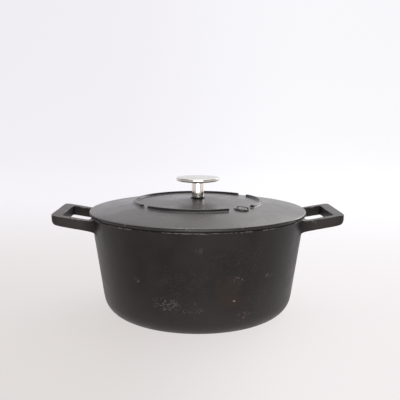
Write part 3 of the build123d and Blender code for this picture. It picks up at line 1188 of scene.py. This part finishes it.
    def add_button(self, bm: BMesh) -> None:
        """Stamp the plain round button with its turned groove into the top.

        Args:
            bm: mesh of the casting.
        """
        columns = set(range(*self.button_columns))
        middle = sum(self.button_columns) / 2 * SEGMENT
        radius = sum(self.button_rows) / 2
        high, size = self.button_height, self.button_radius
        rings = [
            (size + 0.0010, 0.0), (size, 0.0001), (size, 0.8 * high), (size - 0.0004, high),
            (size - 0.0012, high), (size - 0.0017, 0.2 * high), (size - 0.0028, 0.2 * high),
            (size - 0.0032, high), (size - 0.0050, high), (size - 0.0064, 0.75 * high),
        ]
        faces = self.patch(bm, self.button_rows, columns, upper=True)
        stamp(bm, faces, self.seat(radius, middle), rings, self.button_wear)

    def seat(self, radius: float, turn: float, under: bool = False) -> Matrix:
        """Find a place on the dome, with Z pointing out of the surface.

        Args:
            radius: distance from the middle.
            turn: angle about the upright axis.
            under: True for the underside.

        Returns:
            The place and its lean.
        """
        z = self.dome(radius, -self.wall if under else 0.0)
        place = Matrix.Rotation(turn, 4, "Z") @ Matrix.Translation((radius, 0, z))
        tip = self.lean(radius) + (math.pi if under else 0.0)
        return place @ Matrix.Rotation(tip, 4, "Y")

    def add_ring(self, bm: BMesh) -> None:
        """Raise the broken ring out of the dome and soften its top.

        Args:
            bm: mesh of the casting.
        """
        ring = self.ring
        faces = self.patch(bm, (ring.inner, ring.outer), ring.columns(), upper=True)
        made = bmesh.ops.extrude_face_region(bm, geom=faces)["geom"]
        bmesh.ops.delete(bm, geom=faces, context="FACES")
        top = [v for v in made if isinstance(v, BMVert)]
        raised = {f for f in made if isinstance(f, BMFace)}
        bmesh.ops.translate(bm, verts=top, vec=(0, 0, ring.height))
        sides = {e for f in raised for e in f.edges if any(g not in raised for g in e.link_faces)}
        bmesh.ops.bevel(
            bm, geom=list(sides), affect="EDGES", offset=ring.soft, segments=1, profile=0.5,
            material=-1,
        )
        crown = self.dome(ring.middle) + 0.6 * ring.height
        near, far = ring.inner - 0.001, ring.outer + 0.001
        mark_wear(bm, lambda co: near < math.hypot(co.x, co.y) < far and co.z > crown, ring.wear)


@dataclass
class Knob:
    """Turned steel knob: cap and stem, with the thin washer it stands on."""

    seat_z: float = 0.1316
    washer: Point = (0.0081, 0.0008)
    stem_radius: float = 0.0072
    stem_height: float = 0.018
    flare: float = 0.001
    bore: float = 0.0033
    cap_radius: float = 0.025
    cap_rim: float = 0.0035
    cap_dish: float = 0.0019
    cap_seat: float = 0.009
    crown: float = 0.0005
    cap_round: float = 0.0009
    swell: tuple[Point, ...] = (      # underside, as radius and share of the dish
        (0.010, 0.02), (0.0135, 0.10), (0.018, 0.30), (0.0215, 0.58), (0.0235, 0.82),
    )
    thread: Point = (0.003, 0.0052)
    segments: int = 64

    def build(
        self, cap: bpy.types.Material, stem: bpy.types.Material, washer: bpy.types.Material,
    ) -> None:
        """Model the three turned pieces.

        Args:
            cap: finish of the cap.
            stem: finish of the stem.
            washer: finish of the washer.
        """
        self.make_washer(washer)
        self.make_stem(stem)
        self.make_cap(cap)

    def turn(self, outline: list[Point], closed: bool) -> BMesh:
        """Lathe an outline of the knob."""
        return lathe(hold_size(outline, self.segments), self.segments, closed)

    def make_washer(self, finish: bpy.types.Material) -> None:
        """Model the thin washer under the stem.

        Args:
            finish: its finish.
        """
        radius, height = self.washer
        low, high, soft = self.seat_z, self.seat_z + height, 0.00015
        outline = [
            (self.bore, low), (self.bore + soft, low), (radius - soft, low),
            (radius, low + soft), (radius, high - soft), (radius - soft, high),
            (self.bore + soft, high), (self.bore, high),
        ]
        bm = self.turn(outline, closed=True)
        as_piece("knob_base_washer", bm, finish, Body.LID, ["knob_seat_washer"])

    def make_stem(self, finish: bpy.types.Material) -> None:
        """Model the tubular stem with a small cove under the cap.

        Args:
            finish: its finish.
        """
        low = self.seat_z + self.washer[1]
        high = low + self.stem_height
        radius, flare = self.stem_radius, self.flare
        outline = [(self.bore, low), (self.bore + 0.0003, low), (radius - 0.0010, low)]
        outline += arc((radius - 0.0004, low + 0.0004), 0.0004, -90, 0, 3)
        heights = (low + 0.0012, (low + high) / 2, high - flare - 0.0008)
        outline += [(radius, z) for z in heights]
        outline += arc((radius + flare, high - flare), flare, 180, 95, 4)
        outline += [(radius + flare - 0.0001, high), (self.bore + 0.0003, high), (self.bore, high)]
        outline += [(self.bore, (low + high) / 2)]
        bm = self.turn(outline, closed=True)
        as_piece("knob_post", bm, finish, Body.LID, ["knob_stem"])

    def make_cap(self, finish: bpy.types.Material) -> None:
        """Model the cap with a crowned top, a rounded rim and a swelling underside.

        Args:
            finish: its finish.
        """
        low = self.seat_z + self.washer[1] + self.stem_height
        rim_low = low + self.cap_dish
        rim_high = rim_low + self.cap_rim
        bore, depth = self.thread
        soft, radius = self.cap_round, self.cap_radius
        outline = [(0.0, low + depth), (bore - 0.0006, low + depth), (bore, low + depth - 0.0006)]
        outline += [(bore, low + 0.0006), (bore + 0.0003, low), (self.cap_seat - 0.001, low)]
        outline += [(r, low + share * self.cap_dish) for r, share in self.swell]
        outline += arc((radius - soft, rim_low + soft), soft, -60, 0, 3)
        outline += arc((radius - soft, rim_high - soft), soft, 0, 84, 4)
        rise = ((radius - 0.003, 0.1), (0.016, 0.6), (0.008, 0.9), (0.0, 1.0))
        outline += [(r, rim_high + share * self.crown) for r, share in rise]
        bm = self.turn(outline, closed=False)
        mark_wear(bm, lambda co: co.z > rim_low and math.hypot(co.x, co.y) > radius - soft, 1.0)
        as_piece("knob_disc", bm, finish, Body.LID, ["knob_cap"])


@dataclass
class Fixings:
    """Screw and washers inside the lid, kept in their own shape."""

    nodes: tuple[str, ...] = ("knob_screw", "screw_spring_washer", "screw_flat_washer")

    def dress(self, finish: bpy.types.Material) -> None:
        """Give each fixing its finish.

        Args:
            finish: the finish of all of them.
        """
        for node in self.nodes:
            piece = bpy.data.objects[node]
            for slot in piece.material_slots:
                slot.material = finish
            log.info("%s: dressed", node)


@dataclass(frozen=True)
class SoftLight:
    """Rectangular soft light that faces the middle of the pot."""

    name: str
    place: tuple[float, float, float]
    size: Point
    power: float

    def build(self) -> None:
        """Put the light in the scene."""
        data = bpy.data.lights.new(self.name, "AREA")
        data.shape = "RECTANGLE"
        data.size, data.size_y = self.size
        data.energy = self.power
        lamp = bpy.data.objects.new(self.name, data)
        lamp.location = self.place
        facing = Vector(AIM) - Vector(self.place)
        lamp.rotation_euler = facing.to_track_quat("-Z", "Y").to_euler()
        bpy.context.scene.collection.objects.link(lamp)


AIM = (0.0, 0.0, 0.1)
LIGHTS = (
    SoftLight("overhead", (0.2, 0.5, 2.2), (2.0, 2.0), 34.0),
    SoftLight("back_right", (1.25, 1.1, 0.55), (0.9, 0.7), 6.0),
    SoftLight("front", (0.1, -2.4, 1.1), (1.5, 1.5), 2.2),
    SoftLight("low_front", (0.02, -0.88, 0.11), (0.80, 0.20), 2.0),   # streak on the stem
)


@dataclass
class Studio:
    """Pale seamless sweep, soft lights and the camera."""

    floor_front: float = -2.2
    floor_back: float = 1.5
    sweep: float = 0.9
    width: float = 7.0
    wall_height: float = 3.2
    paper_colour: Colour = (0.10, 0.10, 0.10)
    # glow colours of the sweep, painted light
    near_left: Colour = (0.655, 0.62, 0.605)
    near_right: Colour = (0.775, 0.74, 0.745)
    far_left: Colour = (0.80, 0.78, 0.82)
    far_right: Colour = (0.865, 0.86, 0.885)
    upper_left: Colour = (0.86, 0.84, 0.84)
    upper_right: Colour = (2.5, 2.45, 2.4)
    step: Point = (-0.15, 0.9)        # from near to far, along the sheet
    rise: Point = (0.78, 1.5)         # heights between the far and the upper colours
    side: Point = (-0.16, 0.2)        # from the left colour to the right one
    upper_side: Point = (0.0, 0.32)   # the same high up
    eye_back: float = 0.75            # the sides fan out from this far in front
    camera_place: tuple[float, float, float] = (-0.01043, -0.69381, 0.23253)
    camera_heading: float = 0.0187
    camera_dip: float = 0.1481
    camera_roll: float = 0.0032
    lens: float = 54.0

    def build(self) -> None:
        """Set up the backdrop, the lights, the world and the camera."""
        self.make_sweep()
        for light in LIGHTS:
            light.build()
        self.make_world()
        self.make_camera()
        bpy.context.scene.view_settings.view_transform = "Standard"

    def make_sweep(self) -> None:
        """One sheet that curves up from the floor behind the pot."""
        bm = bmesh.new()
        bend = arc((self.floor_back, self.sweep), self.sweep, -90, 0, 12)
        line = [(self.floor_front, 0.0), *bend, (self.floor_back + self.sweep, self.wall_height)]
        verts = [bm.verts.new((-self.width / 2, y, z)) for y, z in line]
        edges = [bm.edges.new(pair) for pair in zip(verts, verts[1:])]
        made = bmesh.ops.extrude_edge_only(bm, edges=edges)["geom"]
        fresh = [v for v in made if isinstance(v, BMVert)]
        bmesh.ops.translate(bm, verts=fresh, vec=(self.width, 0, 0))
        bmesh.ops.recalc_face_normals(bm, faces=bm.faces)
        mesh = bpy.data.meshes.new("sweep")
        bm.to_mesh(mesh)
        bm.free()
        mesh.polygons.foreach_set("use_smooth", [True] * len(mesh.polygons))
        mesh.materials.append(self.paper())
        sweep = bpy.data.objects.new("sweep", mesh)
        bpy.context.scene.collection.objects.link(sweep)

    def paper(self) -> bpy.types.Material:
        """Make the pale paper, whose glow is painted light: paler far back, to the right and high
        up.

        Returns:
            The material.
        """
        material, graph, place = new_material("pale paper")
        parts = graph.node("ShaderNodeSeparateXYZ", {0: place})
        along = graph.math("ADD", parts.outputs["Y"], parts.outputs["Z"])
        step = graph.fade(along, *self.step)
        depth = graph.math("ADD", parts.outputs["Y"], self.eye_back)
        aside = graph.math("DIVIDE", parts.outputs["X"], depth)
        side = graph.fade(aside, *self.side)
        near = graph.mix(side, (*self.near_left, 1.0), (*self.near_right, 1.0))
        far = graph.mix(side, (*self.far_left, 1.0), (*self.far_right, 1.0))
        tone = graph.fade(graph.noise(place, 2.0, 2.0), 0.3, 0.7, 0.985, 1.0)
        high = graph.fade(parts.outputs["Z"], *self.rise)
        upper_side = graph.fade(aside, *self.upper_side)
        upper = graph.mix(upper_side, (*self.upper_left, 1.0), (*self.upper_right, 1.0))
        glow = graph.mix(high, graph.mix(step, near, far), upper)
        base = graph.mix(tone, (0.0, 0.0, 0.0, 1.0), (*self.paper_colour, 1.0))
        fixed = {"Roughness": 0.9, "IOR": 1.2, "Emission Strength": 1.0}
        finish_material(graph, {"Base Color": base, "Emission Color": glow}, **fixed)
        return material

    @staticmethod
    def make_world() -> None:
        """Even pale light from all round."""
        world = bpy.data.worlds.new("studio")
        world.use_nodes = True
        background = world.node_tree.nodes["Background"]
        background.inputs["Color"].default_value = (0.95, 0.96, 1.0, 1.0)
        background.inputs["Strength"].default_value = 0.35
        bpy.context.scene.world = world

    def make_camera(self) -> None:
        """Camera a little above the rim, in front of the pot."""
        data = bpy.data.cameras.new("camera")
        data.lens = self.lens
        data.sensor_width = 36.0
        data.clip_start = 0.01
        data.clip_end = 100.0
        camera = bpy.data.objects.new("camera", data)
        turn = Matrix.Rotation(-self.camera_heading, 4, "Z")
        tip = Matrix.Rotation(math.pi / 2 - self.camera_dip, 4, "X")
        roll = Matrix.Rotation(self.camera_roll, 4, "Z")
        camera.matrix_world = Matrix.Translation(self.camera_place) @ turn @ tip @ roll
        bpy.context.scene.collection.objects.link(camera)
        bpy.context.scene.camera = camera


POT_SCUFFS = (
    Stain((-0.0345, -0.1068, 0.0380), 0.0150, 1.5, 0.55),
    Stain((-0.0215, -0.1098, 0.0352), 0.0120, 2.0, 0.45),
    Stain((-0.0060, -0.1115, 0.0318), 0.0150, 4.5, 0.75),
    Stain((0.0465, -0.1000, 0.0240), 0.0100, 1.2, 0.40),
    Stain((-0.0180, -0.1135, 0.0600), 0.0340, 1.6, 0.08),
    Stain((0.0400, -0.1100, 0.0800), 0.0420, 1.4, 0.06),
    Stain((-0.0630, -0.0966, 0.0605), 0.0060, 1.6, 0.60),
    Stain((0.0385, -0.1098, 0.0632), 0.0060, 1.2, 0.75),
    Stain((0.0455, -0.1070, 0.0632), 0.0060, 2.5, 0.50),
    Stain((0.0729, -0.0900, 0.0635), 0.0065, 1.6, 0.70),
    Stain((0.0005, -0.1207, 0.0956), 0.0050, 1.0, 0.55),
    Stain((0.0600, -0.0950, 0.0450), 0.0200, 1.0, 0.09),
)
POT_NICKS_AND_HIGHLIGHTS = (
    Stain((0.0354, -0.1072, 0.0413), 0.0017, 1.6, 0.90),
    Stain((-0.0600, -0.0940, 0.0370), 0.0010, 1.0, 0.45),
    Stain((-0.0992, -0.0647, 0.0801), 0.0011, 1.0, 0.40),
    Stain((-0.0040, -0.1130, 0.0400), 0.0009, 1.0, 0.45),
    Stain((0.0420, -0.1160, 0.1138), 0.0024, 3.0, 0.32),
    Stain((0.0505, -0.1125, 0.1138), 0.0020, 3.0, 0.35),
    Stain((0.0050, -0.1232, 0.1138), 0.0070, 6.0, 0.22),
    Stain((-0.0140, -0.1225, 0.1138), 0.0060, 6.0, 0.20),
    # the next four are painted highlights on the back bars' inner top edges
    Stain((-0.1395, 0.0352, 0.1146), 0.0036, 2.2, 0.95),
    Stain((-0.1430, 0.0352, 0.1152), 0.0022, 2.2, 0.75),
    Stain((0.1415, 0.0352, 0.1148), 0.0030, 2.2, 0.95),
    Stain((0.1440, 0.0352, 0.1154), 0.0016, 2.2, 0.70),
    Stain((0.1262, -0.0435, 0.1118), 0.0013, 1.0, 0.45),
    Stain((0.1292, -0.0435, 0.1108), 0.0010, 1.0, 0.35),
    Stain((0.1502, -0.0430, 0.1160), 0.0012, 1.0, 0.35),
)
LID_NICKS = (
    Stain((0.0210, -0.1232, 0.1188), 0.0011, 1.6, 0.35),
    Stain((0.0330, -0.1206, 0.1190), 0.0009, 1.6, 0.30),
    Stain((0.0423, -0.1176, 0.1186), 0.0013, 2.0, 0.45),
    Stain((0.0550, -0.1122, 0.1190), 0.0010, 1.6, 0.30),
    Stain((0.0650, -0.1068, 0.1190), 0.0010, 1.6, 0.25),
)
POT_RESIDUE = (
    Stain((0.0290, -0.1100, 0.0530), 0.0200, 1.0, 0.35),
    Stain((0.0330, -0.1060, 0.0400), 0.0240, 2.4, 0.25),
    Stain((0.0465, -0.1000, 0.0229), 0.0090, 1.3, 0.30),
    Stain((0.1450, -0.0435, 0.1090), 0.0130, 1.6, 0.40),
)


# the pot carries painted sheen on upward faces and painted floor reflection near its base
POT_IRON = IronFinish(
    "pot iron", edge_amount=0.58, low_floor_reflection=0.16, loop_tone_amount=0.6,
    scuffs=POT_SCUFFS, nicks_and_highlights=POT_NICKS_AND_HIGHLIGHTS, residue=POT_RESIDUE,
)
# the lid's pale upward faces are painted sheen standing for the reflected backdrop
LID_IRON = IronFinish(
    "lid iron", colour=(0.010, 0.0086, 0.0083), dusty=(0.024, 0.021, 0.020),
    roughness=0.25, ior=1.5, tint=(1.0, 0.98, 0.975), edge_amount=0.34, specks=0.0,
    grain_depth=0.00004, painted_sheen=0.6, pale_tone=(0.062, 0.055, 0.052),
    # painted shadow line along the lid's low edge
    gap_shadow_z=0.1156, gap_shadow_reach=(0.0004, 0.0016), nicks_and_highlights=LID_NICKS,
)
# painted shade on the cap's underside, a darker tan
CAP_STEEL = SteelFinish(
    "cap steel", shade_joints=(0.1504,), shade_reach=0.0058, shade_colour=(0.40, 0.37, 0.315),
)
# painted shade just under the cap and at the stem's foot
STEM_STEEL = SteelFinish(
    "stem steel", colour=(0.84, 0.805, 0.75), roughness=0.10, depth=0.000004,
    unevenness=0.1, shade_joints=(0.1502, 0.1324),
)
FIXING_STEEL = SteelFinish("fixing steel", colour=(0.5, 0.5, 0.5), roughness=0.3)


def main() -> None:
    """Build the pot, the lid, the knob, the fixings and the studio."""
    logging.basicConfig(level=logging.INFO, format="%(message)s")
    effects = Effects()
    Pot().build(POT_IRON.material(effects))
    Lid().build(LID_IRON.material(effects))
    Knob().build(
        CAP_STEEL.material(effects), STEM_STEEL.material(effects), WasherFinish().material(effects)
    )
    Fixings().dress(FIXING_STEEL.material(effects))
    Studio().build()


if __name__ == "__main__":
    main()
